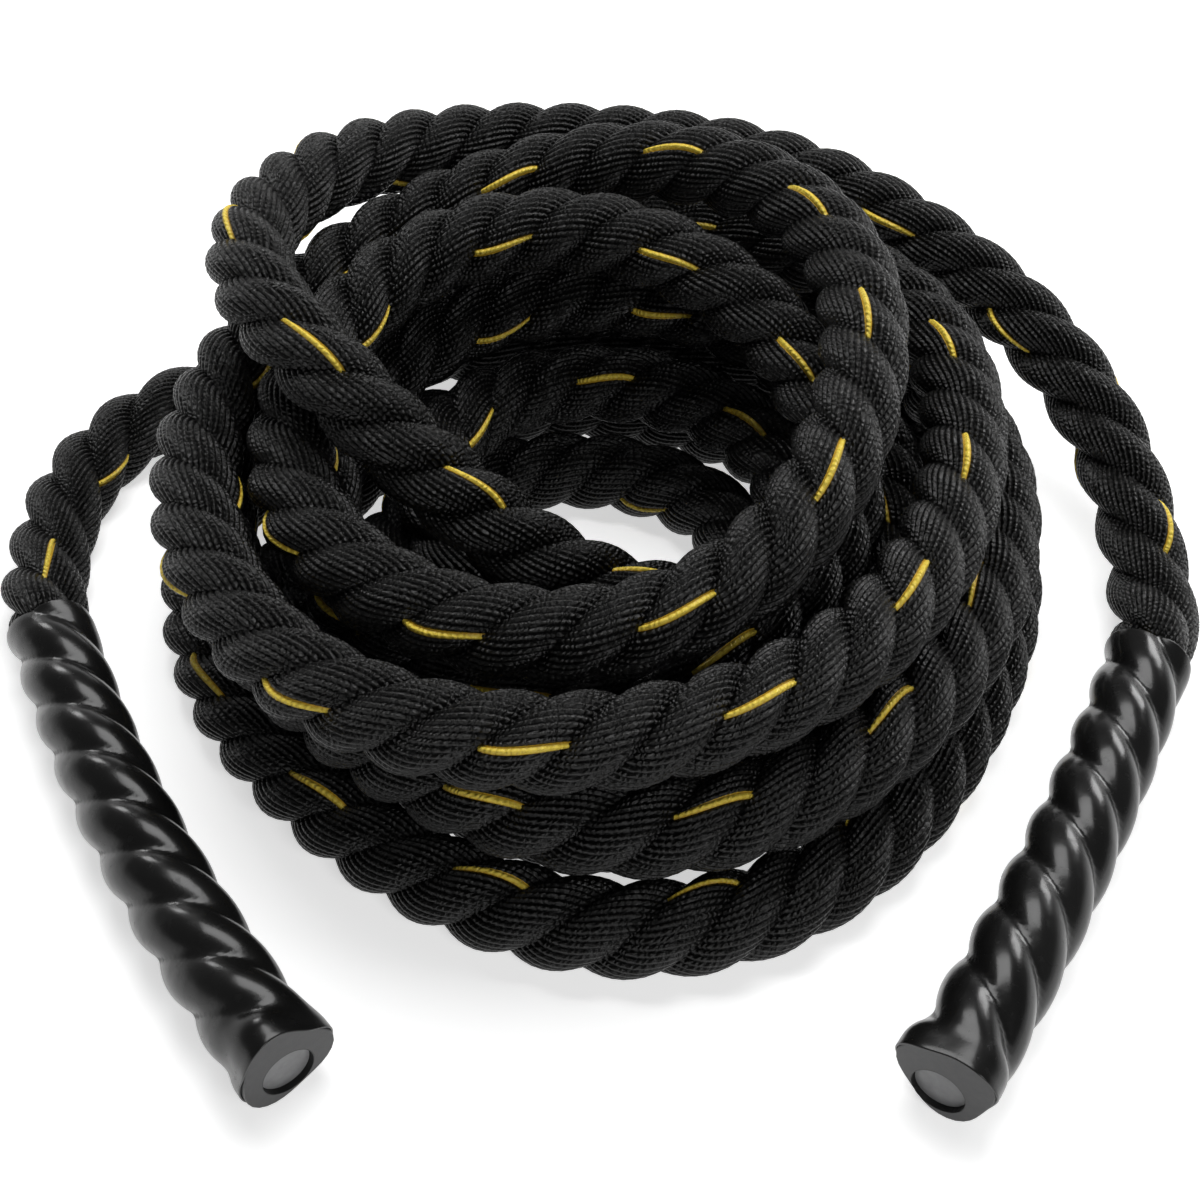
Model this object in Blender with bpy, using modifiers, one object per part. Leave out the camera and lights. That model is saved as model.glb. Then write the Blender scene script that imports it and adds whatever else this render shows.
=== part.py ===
# Battle rope: one length of thick three-strand rope lying in a loose round pile, with a bound grip at each end.
# Metres, +Z up. The pile and the grips lie on z = 0, and the origin is under the middle of the whole object.
import math

import bmesh
import bpy
import numpy as np
from mathutils import Vector

# Rope
rope_diameter = 0.038
turn_clearance = 0.0022     # left between turns that lie beside or on each other
fit_clearance = 0.0003      # left between pieces that touch
flat_share = 0.1            # part of the diameter that is pressed flat where the rope lies on the floor
lay_length = 0.088          # rope length in which a strand goes once round
strand_count = 3

# Grips: bowed, so that the middle line is an arc. Headings are degrees to the right of straight ahead (-Y).
grips = {
    "left": {
        "mouth": (-0.241, -0.0245),     # where the rope enters the sleeve
        "mouth_heading": 23.6,
        "bow": 14.6,                    # degrees that the heading turns between the mouth and the cap
        "length": 0.2485,
        "height": 0.0192,
        "corner_bearing": -8.0,         # of the cap's first corner, seen from the front
        "disc_place": (0.0005, -0.0050),
    },
    "right": {
        "mouth": (0.2358, -0.0435),
        "mouth_heading": -25.1,
        "bow": -8.4,
        "length": 0.231,
        "height": 0.0201,
        "corner_bearing": 40.0,
        "disc_place": (-0.0018, -0.0067),
    },
}
sleeve_diameter = 0.0346          # between the crests and the creases of its lobes
sleeve_wall = 0.0015
lobe_height = 0.0013              # crest above, and crease below, that diameter
mouth_lobe_share = 0.4            # of the lobes' height, at the mouth
mouth_fade_length = 0.02
mouth_flare = 0.0004
mouth_flare_length = 0.012
cap_flare_length = 0.012
mouth_run = 0.019                 # straight rope before the sleeve
sleeve_sides = 18
sleeve_rings = 40

# End caps: plates with three rounded corners, each with a low round pocket for its disc
cap_radius = 0.0181
corner_height = 0.0019            # how far the corners stand out of that radius, and the sides in
cap_gap = 0.0008                  # between the sleeve's end and the plate
cap_thickness = 0.0050
cap_edge_radius = 0.0006
spigot_length = 0.012
pocket_depth = 0.0036
disc_diameter = 0.0200
disc_thickness = 0.0008
whipping_length = 0.045
whipping_thickness = 0.0006
round_sides = 36
rope_end_rings = 9
whipping_rings = 3
edge_round_steps = 3

# Pile: each turn's radius in metres and its height in layers of rope, at nine bearings clockwise from the back
# The turns run clockwise, seen from above, from the outer end at the back to the inner end at the right.
turn_bearings = (0, 45, 90, 115, 140, 180, 225, 270, 315)
turn_radii = (
    (0.197, 0.202, 0.183, 0.163, 0.176, 0.183, 0.158, 0.180, 0.192),
    (0.195, 0.202, 0.175, 0.161, 0.160, 0.166, 0.138, 0.171, 0.192),
    (0.192, 0.196, 0.151, 0.145, 0.144, 0.155, 0.167, 0.163, 0.176),
    (0.187, 0.145, 0.103, 0.099, 0.104, 0.110, 0.118, 0.134, 0.140),
    (0.120, 0.106, 0.103, 0.101, 0.102, 0.107, 0.114, 0.128, 0.130),
    (0.130, 0.136, 0.129, 0.119, 0.128, 0.135, 0.117, 0.141, 0.158),
    (0.150, 0.136, 0.108, 0.094, 0.091, 0.094, 0.078, 0.101, 0.110),
    (0.095, 0.089, 0.068, 0.057, 0.052, 0.050, 0.048, 0.066, 0.108),
    (0.116, 0.107, 0.090),
)
turn_layer_shares = (
    (0.00, 0.00, 0.00, 0.00, 0.00, 0.00, 0.00, 0.05, 0.50),
    (1.00, 1.00, 0.90, 0.87, 0.87, 0.90, 0.90, 1.00, 1.50),
    (2.00, 2.00, 1.85, 1.82, 1.82, 1.87, 1.90, 1.97, 2.45),
    (3.00, 3.20, 2.90, 2.65, 2.35, 2.08, 2.08, 2.15, 2.65),
    (3.00, 2.50, 1.85, 1.60, 1.35, 1.05, 1.08, 1.15, 1.65),
    (2.00, 1.50, 0.87, 0.60, 0.30, 0.00, 0.00, 0.00, 0.00),
    (0.00, 0.00, 0.00, 0.00, 0.00, 0.00, 0.00, 0.00, 0.00),
    (0.00, 0.00, 0.00, 0.00, 0.00, 0.00, 0.20, 0.70, 1.00),
    (1.00, 1.00, 1.00),
)
points_per_turn = 24
full_turn = 360

# Route of the rope outside the pile, from chosen points
left_lead_route = (
    (-0.2545, 0.022, 0.0152), (-0.258, 0.050, 0.0152), (-0.257, 0.080, 0.0152), (-0.250, 0.107, 0.0152),
    (-0.240, 0.129, 0.0152), (-0.222, 0.147, 0.0152), (-0.196, 0.163, 0.0152), (-0.158, 0.179, 0.0152),
    (-0.108, 0.191, 0.0152), (-0.054, 0.197, 0.0152),
)
inner_end_route = (
    (0.086, -0.026, 0.0544), (0.068, -0.048, 0.0544), (0.040, -0.057, 0.0544), (0.008, -0.048, 0.0580),
    (-0.022, -0.032, 0.0700), (-0.052, -0.018, 0.0880),
)
right_lead_route = (
    (-0.086, -0.008, 0.1090), (-0.120, 0.004, 0.1300), (-0.144, 0.036, 0.1400), (-0.153, 0.070, 0.1410),
    (-0.151, 0.101, 0.1420), (-0.140, 0.133, 0.1440), (-0.119, 0.160, 0.1400), (-0.082, 0.184, 0.1310),
    (-0.040, 0.197, 0.1270), (0.000, 0.204, 0.1260), (0.045, 0.206, 0.1230), (0.090, 0.200, 0.1140),
    (0.132, 0.190, 0.1020), (0.166, 0.168, 0.0920), (0.197, 0.143, 0.0800), (0.222, 0.113, 0.0670),
    (0.239, 0.082, 0.0520), (0.248, 0.052, 0.0380), (0.252, 0.029, 0.0280), (0.248, 0.003, 0.0205),
)

# How the turns settle against each other
route_step_share = 0.35         # spacing of the route's points, of the rope's diameter
lead_step_share = 0.5           # spacing of the leads' tube points
apart_share = 2.0               # rope nearer than this along its own length is not its own neighbour
search_share = 1.35             # how far neighbours are looked for, of their least spacing
held_points = 4                 # at each grip, which stay where they are
settle_rounds = 300
search_rounds = 10              # rounds between two searches for neighbours
closing_rounds = 30             # last rounds, which only push apart
ease_share = 1.3
even_share = 0.3
even_passes = 3
gap_samples_per_step = 8
straight_reach_share = 1.5      # of a tube's straight end run, within which it has no other point

coil_bevel_resolution = 1
lead_bevel_resolution = 2
weld_distance = 0.00001
cutter_margin = 0.05
sharp_angle = 40                # degrees between two faces, above which their edge looks sharp

turn_spacing = rope_diameter + turn_clearance
floor_height = rope_diameter * (0.5 - flat_share)
sleeve_radius = sleeve_diameter / 2
longest_grip = max(grip["length"] for grip in grips.values())
ring_turn = 2 * math.pi * longest_grip / sleeve_rings / lay_length
facet_share = math.cos(math.pi / sleeve_sides) * math.cos(ring_turn / 2)
bore_radius = (sleeve_radius - lobe_height) * facet_share - sleeve_wall
whipping_radius = bore_radius - fit_clearance
bound_rope_radius = whipping_radius - whipping_thickness - fit_clearance
spigot_radius = bound_rope_radius
pocket_radius = disc_diameter / 2 + fit_clearance


def clear_scene():
    for thing in list(bpy.data.objects):
        bpy.data.objects.remove(thing, do_unlink=True)


def new_collection(name):
    collection = bpy.data.collections.new(name)
    bpy.context.scene.collection.children.link(collection)
    return collection


def new_material(name, colour, roughness, metallic=0.0):
    material = bpy.data.materials.new(name)
    material.use_nodes = True
    shader = material.node_tree.nodes["Principled BSDF"]
    shader.inputs["Base Color"].default_value = (*colour, 1.0)
    shader.inputs["Roughness"].default_value = roughness
    shader.inputs["Metallic"].default_value = metallic
    material.diffuse_color = (*colour, 1.0)
    return material


# Route of the rope

def natural_spline(knots, values, places):
    knots = np.asarray(knots, float)
    values = np.asarray(values, float)
    spans = np.diff(knots)
    last = len(knots) - 1
    system = np.eye(last + 1)
    bend = np.zeros_like(values)
    for k in range(1, last):
        system[k, k - 1] = spans[k - 1]
        system[k, k] = 2 * (spans[k - 1] + spans[k])
        system[k, k + 1] = spans[k]
        bend[k] = 6 * ((values[k + 1] - values[k]) / spans[k] - (values[k] - values[k - 1]) / spans[k - 1])
    bend = np.linalg.solve(system, bend)
    left = np.clip(np.searchsorted(knots, places) - 1, 0, last - 1)
    span = spans[left]
    before = (knots[left + 1] - places) / span
    after = (places - knots[left]) / span
    if values.ndim > 1:
        span = span[:, None]
        before = before[:, None]
        after = after[:, None]
    straight = before * values[left] + after * values[left + 1]
    curved = (before ** 3 - before) * bend[left] + (after ** 3 - after) * bend[left + 1]
    return straight + curved * span ** 2 / 6


def places_along(points):
    steps = np.linalg.norm(np.diff(points, axis=0), axis=1)
    return np.concatenate([[0.0], np.cumsum(steps)])


def point_at(points, places, wanted):
    return np.stack([np.interp(wanted, places, points[:, axis]) for axis in range(3)], axis=-1)


def evenly_spaced(points, step):
    places = places_along(points)
    count = max(2, round(places[-1] / step) + 1)
    return point_at(points, places, np.linspace(0, places[-1], count))


def smooth_through(points, step):
    points = np.asarray(points, float)
    knots = np.concatenate([[0.0], np.cumsum(np.sqrt(np.linalg.norm(np.diff(points, axis=0), axis=1)))])
    fine = np.linspace(0, knots[-1], len(points) * points_per_turn)
    return evenly_spaced(natural_spline(knots, points, fine), step)


def pile_points():
    turns = []
    radii = []
    heights = []
    for turn, (turn_radius_row, turn_layer_row) in enumerate(zip(turn_radii, turn_layer_shares)):
        for bearing, radius, layer in zip(turn_bearings, turn_radius_row, turn_layer_row):
            turns.append(turn + bearing / full_turn)
            radii.append(radius)
            heights.append(floor_height + turn_spacing * layer)
    count = round(turns[-1] * points_per_turn)
    at = np.arange(count + 1) / points_per_turn
    radius = natural_spline(turns, radii, at)
    height = natural_spline(turns, heights, at)
    angle = math.pi / 2 - 2 * math.pi * at
    return np.stack([radius * np.cos(angle), radius * np.sin(angle), height], axis=1)


def heading_way(heading):
    return np.array([math.sin(math.radians(heading)), -math.cos(math.radians(heading)), 0.0])


def on_bow(grip, across, up, along):
    # A point beside a grip's arc, in the frame of its mouth, whose z runs into the sleeve.
    rate = math.radians(grip["bow"]) / grip["length"]
    turn = rate * along
    sideways = (1 - math.cos(turn)) / rate
    onward = math.sin(turn) / rate
    return Vector((sideways + across * math.cos(turn), up, onward - across * math.sin(turn)))


def chosen_route():
    # The whole rope before it settles, and the places along it of the pile's loop points and of its two ends.
    step = rope_diameter * route_step_share
    left_grip, right_grip = grips["left"], grips["right"]
    left_start = np.array([*left_grip["mouth"], left_grip["height"]])
    right_end = np.array([*right_grip["mouth"], right_grip["height"]])
    left_bend = left_start - heading_way(left_grip["mouth_heading"]) * mouth_run
    right_bend = right_end - heading_way(right_grip["mouth_heading"]) * mouth_run
    pile = pile_points()
    left = smooth_through([left_start, left_bend, *left_lead_route, pile[0]], step)
    right = smooth_through([pile[-1], *inner_end_route, *right_lead_route, right_bend, right_end], step)
    whole = np.concatenate([left[:-1], pile, right[1:]])
    places = places_along(whole)
    first = len(left) - 1
    last = first + len(pile) - 1
    inner_end = np.array(inner_end_route[-1])
    join = last + int(np.argmin(np.linalg.norm(whole[last:] - inner_end, axis=1)))
    loop_places = [*places[first:last + 1], *places[last + 2:join + 1:2]]
    if loop_places[-1] != places[join]:
        loop_places.append(places[join])
    return evenly_spaced(whole, step), np.array(loop_places), places[-1]


def neighbours(points, places, reach):
    apart = np.linalg.norm(points[:, None, :] - points[None, :, :], axis=2)
    later = (places[None, :] - places[:, None]) > apart_share * rope_diameter
    return np.where((apart < reach) & later)


def evened(points):
    # Spreads a sharp bend over the points beside it.
    middle = np.zeros_like(points)
    middle[1:-1] = 0.5 * (points[:-2] + points[2:]) - points[1:-1]
    change = np.zeros_like(points)
    change[2:-2] = middle[2:-2] - 0.5 * (middle[1:-3] + middle[3:-1])
    return points + even_share * change


def settled(route):
    # Pushes neighbouring turns apart until each has its clearance, and keeps all of them off the floor.
    points = route.copy()
    places = places_along(points)
    free = np.ones(len(points), bool)
    free[:held_points] = False
    free[-held_points:] = False
    for turn in range(settle_rounds):
        if turn % search_rounds == 0:
            one, other = neighbours(points, places, turn_spacing * search_share)
        between = points[one] - points[other]
        apart = np.linalg.norm(between, axis=1)
        short = np.clip(turn_spacing - apart, 0, None)
        push = between / apart[:, None] * short[:, None] / 2
        moved = np.zeros_like(points)
        pushes = np.zeros(len(points))
        np.add.at(moved, one, push)
        np.add.at(moved, other, -push)
        np.add.at(pushes, one, short > 0)
        np.add.at(pushes, other, short > 0)
        shift = ease_share * moved / np.maximum(pushes, 1)[:, None]
        points[free] += shift[free]
        if turn < settle_rounds - closing_rounds:
            for _ in range(even_passes):
                points[free] = evened(points)[free]
        points[free, 2] = np.maximum(points[free, 2], floor_height)
    return points


def with_straight_start(points, direction, run):
    # Replaces the first bends of a tube by one straight run that ends square to what it meets.
    start = points[0]
    kept = points[np.linalg.norm(points - start, axis=1) > straight_reach_share * run]
    return np.concatenate([[start, start + direction * run], kept])


def least_gap(points):
    fine = evenly_spaced(points, rope_diameter / gap_samples_per_step)
    places = places_along(fine)
    one, other = neighbours(fine, places, turn_spacing * search_share)
    return np.min(np.linalg.norm(fine[one] - fine[other], axis=1)) - rope_diameter


def rope_tubes():
    # Points of the left lead, the pile and the right lead, which meet face to face.
    route, loop_places, route_length = chosen_route()
    route = settled(route)
    route_places = np.linspace(0, route_length, len(route))
    left_join, right_join = loop_places[0], loop_places[-1]
    nudge = rope_diameter * route_step_share

    def direction_at(place):
        ahead = point_at(route, route_places, place + nudge) - point_at(route, route_places, place - nudge)
        return ahead / np.linalg.norm(ahead)

    def lead_between(start, end):
        count = round((end - start) / (rope_diameter * lead_step_share))
        return point_at(route, route_places, np.linspace(start, end, count + 1))

    left_mouth_way = heading_way(grips["left"]["mouth_heading"])
    right_mouth_way = heading_way(grips["right"]["mouth_heading"])
    left_way = direction_at(left_join)
    right_way = direction_at(right_join)
    coil = point_at(route, route_places, loop_places)
    coil = with_straight_start(coil, left_way, rope_diameter)
    coil = with_straight_start(coil[::-1], -right_way, rope_diameter)[::-1]
    left = lead_between(0, left_join)
    left[-1] -= left_way * fit_clearance
    left[0] -= left_mouth_way * fit_clearance
    left = with_straight_start(left, -left_mouth_way, mouth_run)
    left = with_straight_start(left[::-1], -left_way, rope_diameter)[::-1]
    right = lead_between(right_join, route_length)
    right[0] += right_way * fit_clearance
    right[-1] -= right_mouth_way * fit_clearance
    right = with_straight_start(right, right_way, rope_diameter)
    right = with_straight_start(right[::-1], -right_mouth_way, mouth_run)[::-1]
    print("rope_coil least gap to itself, mm:", round(least_gap(coil) * 1000, 2))
    whole = np.concatenate([left, coil, right])
    print("whole rope least gap to itself, mm:", round(least_gap(whole) * 1000, 2))
    print("rope length between the grips, m:", round(places_along(route)[-1], 3))
    print("points in the leads:", len(left) + len(right), "and in the pile:", len(coil))
    return left, coil, right


# Pieces

def new_object(name, mesh, material, collection, parent):
    thing = bpy.data.objects.new(name, mesh)
    thing.data.materials.append(material)
    thing.parent = parent
    collection.objects.link(thing)
    mesh.shade_smooth()
    mesh.set_sharp_from_angle(angle=math.radians(sharp_angle))
    return thing


def rope_tube(name, points, bevel_resolution, material, collection, parent):
    curve = bpy.data.curves.new(name + "_guide", "CURVE")
    curve.dimensions = "3D"
    curve.twist_mode = "Z_UP"
    curve.bevel_depth = rope_diameter / 2
    curve.bevel_resolution = bevel_resolution
    curve.use_fill_caps = True
    spline = curve.splines.new("POLY")
    spline.points.add(len(points) - 1)
    for knot, place in zip(spline.points, points):
        knot.co = (*place, 1.0)
    guide = bpy.data.objects.new(name + "_guide", curve)
    collection.objects.link(guide)
    bpy.context.view_layer.update()
    evaluated = guide.evaluated_get(bpy.context.evaluated_depsgraph_get())
    mesh = bpy.data.meshes.new_from_object(evaluated)
    mesh.name = name
    welded = bmesh.new()
    welded.from_mesh(mesh)
    bmesh.ops.remove_doubles(welded, verts=welded.verts, dist=weld_distance)
    welded.to_mesh(mesh)
    welded.free()
    thing = new_object(name, mesh, material, collection, parent)
    thing.matrix_world = guide.matrix_world
    bpy.data.objects.remove(guide, do_unlink=True)
    return thing


def floor_cutter(tubes, collection, parent):
    # A block under the floor, which cuts the rope flat where it lies.
    corners = [vertex.co for tube in tubes for vertex in tube.data.vertices]
    low = Vector([min(corner[axis] for corner in corners) - cutter_margin for axis in range(3)])
    high = Vector([max(corner[axis] for corner in corners) + cutter_margin for axis in range(3)])
    high.z = 0
    block = bmesh.new()
    bmesh.ops.create_cube(block, size=1.0)
    bmesh.ops.scale(block, vec=high - low, verts=block.verts)
    mesh = bpy.data.meshes.new("floor_cutter")
    block.to_mesh(mesh)
    block.free()
    cutter = bpy.data.objects.new("floor_cutter", mesh)
    cutter.location = (low + high) / 2
    cutter.parent = parent
    cutter.hide_render = True
    cutter.display_type = "WIRE"
    collection.objects.link(cutter)
    for tube in tubes:
        cut = tube.modifiers.new("flat_underside", "BOOLEAN")
        cut.operation = "DIFFERENCE"
        cut.solver = "EXACT"
        cut.object = cutter
    return cutter


def bowed_tube(name, grip, ends, sides, rings, capped, shape_at, material, collection, parent):
    # A tube along a grip's arc. shape_at gives the radius and the turned angle for a place and an angle.
    start, end = ends
    shape = bmesh.new()
    bmesh.ops.create_cone(shape, cap_ends=capped, segments=sides, radius1=1.0, radius2=1.0, depth=1.0)
    uprights = [edge for edge in shape.edges if edge.verts[0].co.z * edge.verts[1].co.z < 0]
    bmesh.ops.subdivide_edges(shape, edges=uprights, cuts=rings - 1)
    for vertex in shape.verts:
        along = start + (vertex.co.z + 0.5) * (end - start)
        radius, angle = shape_at(along, math.atan2(vertex.co.y, vertex.co.x))
        vertex.co = on_bow(grip, radius * math.cos(angle), radius * math.sin(angle), along)
    bmesh.ops.triangulate(shape, faces=shape.faces, quad_method="SHORT_EDGE")
    mesh = bpy.data.meshes.new(name)
    shape.to_mesh(mesh)
    shape.free()
    return new_object(name, mesh, material, collection, parent)


def with_wall(thing, thickness):
    wall = thing.modifiers.new("wall", "SOLIDIFY")
    wall.thickness = thickness
    wall.offset = -1.0
    wall.use_even_offset = True


def eased(share):
    held = min(1.0, max(0.0, share))
    return held * held * (3 - 2 * held)


def grip_sleeve(name, grip, material, collection, parent):
    # A thin shell drawn down onto the twisted rope. It shows one lobe for each strand and ends as wide as the cap.
    corner = math.radians(grip["corner_bearing"])

    def shape_at(along, angle):
        to_cap = grip["length"] - along
        flare = mouth_flare * max(0.0, 1 - along / mouth_flare_length)
        lobe = lobe_height * (mouth_lobe_share + (1 - mouth_lobe_share) * min(1.0, along / mouth_fade_length))
        at_cap = eased(1 - to_cap / cap_flare_length)
        middle = sleeve_radius + flare + (cap_radius - sleeve_radius) * at_cap
        lobe += (corner_height - lobe) * at_cap
        radius = middle + lobe * math.cos(strand_count * angle)
        return radius, angle + corner + 2 * math.pi * to_cap / lay_length

    ends = (0.0, grip["length"])
    sleeve = bowed_tube(
        name, grip, ends, sleeve_sides, sleeve_rings, False, shape_at, material, collection, parent)
    with_wall(sleeve, sleeve_wall)


def rope_end(name, grip, material, collection, parent):
    ends = (0.0, grip["length"] - spigot_length - fit_clearance)

    def shape_at(along, angle):
        return bound_rope_radius, angle

    bowed_tube(name, grip, ends, round_sides, rope_end_rings, True, shape_at, material, collection, parent)


def end_whipping(name, grip, material, collection, parent):
    end = grip["length"] - spigot_length - fit_clearance
    ends = (end - whipping_length, end)

    def shape_at(along, angle):
        return whipping_radius, angle

    tape = bowed_tube(
        name, grip, ends, round_sides, whipping_rings, False, shape_at, material, collection, parent)
    with_wall(tape, whipping_thickness)


def round_ring(place, radius, height):
    ring = []
    for k in range(round_sides):
        angle = 2 * math.pi * k / round_sides
        ring.append((place[0] + radius * math.cos(angle), place[1] + radius * math.sin(angle), height))
    return ring


def cornered_ring(corner, inset, height):
    ring = []
    for k in range(round_sides):
        angle = 2 * math.pi * k / round_sides
        radius = cap_radius + corner_height * math.cos(strand_count * (angle - corner)) - inset
        ring.append((radius * math.cos(angle), radius * math.sin(angle), height))
    return ring


def end_cap(name, grip, material, collection, parent):
    # From the pocket's floor over the face and round the plate's edge to the end of the spigot.
    corner = math.radians(grip["corner_bearing"])
    back = cap_gap
    front = back + cap_thickness
    middle = (0.0, 0.0)
    rings = [
        round_ring(grip["disc_place"], pocket_radius, front - pocket_depth),
        round_ring(grip["disc_place"], pocket_radius, front),
    ]
    for k in range(edge_round_steps + 1):
        angle = math.pi / 2 * k / edge_round_steps
        inset = cap_edge_radius * (1 - math.sin(angle))
        rings.append(cornered_ring(corner, inset, front - cap_edge_radius * (1 - math.cos(angle))))
    for k in range(edge_round_steps + 1):
        angle = math.pi / 2 * k / edge_round_steps
        inset = cap_edge_radius * (1 - math.cos(angle))
        rings.append(cornered_ring(corner, inset, back + cap_edge_radius * (1 - math.sin(angle))))
    rings.append(round_ring(middle, spigot_radius, back))
    rings.append(round_ring(middle, spigot_radius, -spigot_length))
    shape = bmesh.new()
    loops = [[shape.verts.new(point) for point in ring] for ring in rings]
    for loop, further in zip(loops[:-1], loops[1:]):
        for k in range(round_sides):
            beside = (k + 1) % round_sides
            shape.faces.new((loop[k], loop[beside], further[beside], further[k]))
    shape.faces.new(loops[0])
    shape.faces.new(loops[-1])
    bmesh.ops.recalc_face_normals(shape, faces=shape.faces)
    bmesh.ops.triangulate(shape, faces=shape.faces)
    mesh = bpy.data.meshes.new(name)
    shape.to_mesh(mesh)
    shape.free()
    new_object(name, mesh, material, collection, parent)


def cap_disc(name, grip, material, collection, parent):
    seat = cap_gap + cap_thickness - pocket_depth + fit_clearance
    shape = bmesh.new()
    bmesh.ops.create_cone(
        shape, cap_ends=True, segments=round_sides,
        radius1=disc_diameter / 2, radius2=disc_diameter / 2, depth=disc_thickness)
    bmesh.ops.translate(shape, vec=(*grip["disc_place"], seat + disc_thickness / 2), verts=shape.verts)
    mesh = bpy.data.meshes.new(name)
    shape.to_mesh(mesh)
    shape.free()
    new_object(name, mesh, material, collection, parent)


def axis_holder(name, place, heading, collection, parent):
    # Its z runs along the heading, its x to the right seen from the front of the cap, and its y up.
    holder = bpy.data.objects.new(name, None)
    holder.location = place
    holder.rotation_euler = (math.radians(90), 0.0, math.radians(heading))
    holder.parent = parent
    collection.objects.link(holder)
    return holder


def build_grip(side, materials, collection, origin):
    grip = grips[side]
    mouth = (*grip["mouth"], grip["height"])
    mouth_axis = axis_holder(side + "_mouth_axis", mouth, grip["mouth_heading"], collection, origin)
    bpy.context.view_layer.update()
    cap_place = mouth_axis.matrix_world @ on_bow(grip, 0.0, 0.0, grip["length"])
    cap_heading = grip["mouth_heading"] + grip["bow"]
    cap_axis = axis_holder(side + "_cap_axis", cap_place, cap_heading, collection, origin)
    grip_sleeve(side + "_grip_sleeve", grip, materials["sleeve"], collection, mouth_axis)
    rope_end(side + "_rope_end", grip, materials["rope"], collection, mouth_axis)
    end_whipping(side + "_end_whipping", grip, materials["whipping"], collection, mouth_axis)
    end_cap(side + "_end_cap", grip, materials["cap"], collection, cap_axis)
    cap_disc(side + "_cap_disc", grip, materials["disc"], collection, cap_axis)


def centre_over_origin(collection, origin):
    # Moves the whole object so that the middle of its box stands over the origin.
    bpy.context.view_layer.update()
    depsgraph = bpy.context.evaluated_depsgraph_get()
    places = []
    for thing in collection.objects:
        if thing.type == "MESH":
            evaluated = thing.evaluated_get(depsgraph)
            places += [evaluated.matrix_world @ vertex.co for vertex in evaluated.data.vertices]
    for axis in range(2):
        values = [place[axis] for place in places]
        origin.location[axis] = -(min(values) + max(values)) / 2
    print("pile centre from the origin, mm:", [round(value * 1000, 2) for value in origin.location])
    print("lowest point, mm:", round(min(place.z for place in places) * 1000, 3))


def build():
    clear_scene()
    collection = new_collection("battle_rope")
    cutters = new_collection("cutters")
    materials = {
        "rope": new_material("rope_black", (0.018, 0.018, 0.019), 0.85),
        "sleeve": new_material("sleeve_gloss_black", (0.014, 0.014, 0.015), 0.2),
        "cap": new_material("cap_dark_grey", (0.055, 0.055, 0.058), 0.5),
        "disc": new_material("disc_grey", (0.12, 0.12, 0.125), 0.45),
        "whipping": new_material("whipping_tape", (0.05, 0.05, 0.052), 0.7),
    }
    origin = bpy.data.objects.new("battle_rope_origin", None)
    collection.objects.link(origin)
    left, coil, right = rope_tubes()
    tubes = [
        rope_tube("left_rope_lead", left, lead_bevel_resolution, materials["rope"], collection, origin),
        rope_tube("rope_coil", coil, coil_bevel_resolution, materials["rope"], collection, origin),
        rope_tube("right_rope_lead", right, lead_bevel_resolution, materials["rope"], collection, origin),
    ]
    floor_cutter(tubes, cutters, origin)
    for side in grips:
        build_grip(side, materials, collection, origin)
    centre_over_origin(collection, origin)


build()
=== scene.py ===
import math
import bpy
import numpy as np
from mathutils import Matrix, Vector


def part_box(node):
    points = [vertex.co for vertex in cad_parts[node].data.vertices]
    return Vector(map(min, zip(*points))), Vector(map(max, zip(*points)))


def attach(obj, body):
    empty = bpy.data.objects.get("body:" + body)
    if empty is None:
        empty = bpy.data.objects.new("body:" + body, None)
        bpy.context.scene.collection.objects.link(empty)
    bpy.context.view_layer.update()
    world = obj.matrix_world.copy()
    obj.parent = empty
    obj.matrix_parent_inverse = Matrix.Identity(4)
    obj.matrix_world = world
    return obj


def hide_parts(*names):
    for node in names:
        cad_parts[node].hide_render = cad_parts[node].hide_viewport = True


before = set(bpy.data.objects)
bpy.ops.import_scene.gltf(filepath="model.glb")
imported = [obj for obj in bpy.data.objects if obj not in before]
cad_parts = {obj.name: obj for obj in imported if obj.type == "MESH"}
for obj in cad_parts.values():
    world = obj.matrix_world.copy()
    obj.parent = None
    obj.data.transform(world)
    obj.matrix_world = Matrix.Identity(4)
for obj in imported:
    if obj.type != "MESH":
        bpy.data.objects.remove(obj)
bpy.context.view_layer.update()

# Sizes that the rope, its pile and its grips share with the frame, in metres and degrees
ropeSizes = {
    "diameter": 0.038,
    "turnClearance": 0.0022,     # between turns that lie against each other
    "flatShare": 0.1,            # how much of the diameter is pressed flat on the floor
    "layLength": 0.088,          # a strand goes once round in this length, inside the grips
    "strands": 3,
}
gripSizes = {
    "left": {
        "mouth": (-0.241, -0.0245),
        "heading": 23.6,             # at the mouth, from -Y towards +X
        "bend": 14.6,                # by how much the grip's heading turns on its way to the cap
        "length": 0.2485,
        "height": 0.0192,            # of its middle line over the floor
        "corner": -8.0,              # where the cap's first corner points, up from its right-hand side
        "disc": (0.0005, -0.0050),   # right and up from the cap's middle
    },
    "right": {
        "mouth": (0.2358, -0.0435),
        "heading": -25.1,
        "bend": -8.4,
        "length": 0.231,
        "height": 0.0201,
        "corner": 40.0,
        "disc": (-0.0018, -0.0067),
    },
}
sleeveSizes = {
    "diameter": 0.0346,
    "lobe": 0.0013,              # by which the three lobes stand out
    "straightRope": 0.019,       # before the mouth
}
capSizes = {
    "radius": 0.0181,
    "corner": 0.0019,            # how far its three corners stand out
    "gap": 0.0008,               # between the sleeve's end and the plate
    "thickness": 0.0050,
    "pocketDepth": 0.0036,
    "discDiameter": 0.0200,
    "discThickness": 0.0008,
    "fit": 0.0003,               # play of the disc in its pocket
}

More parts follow.
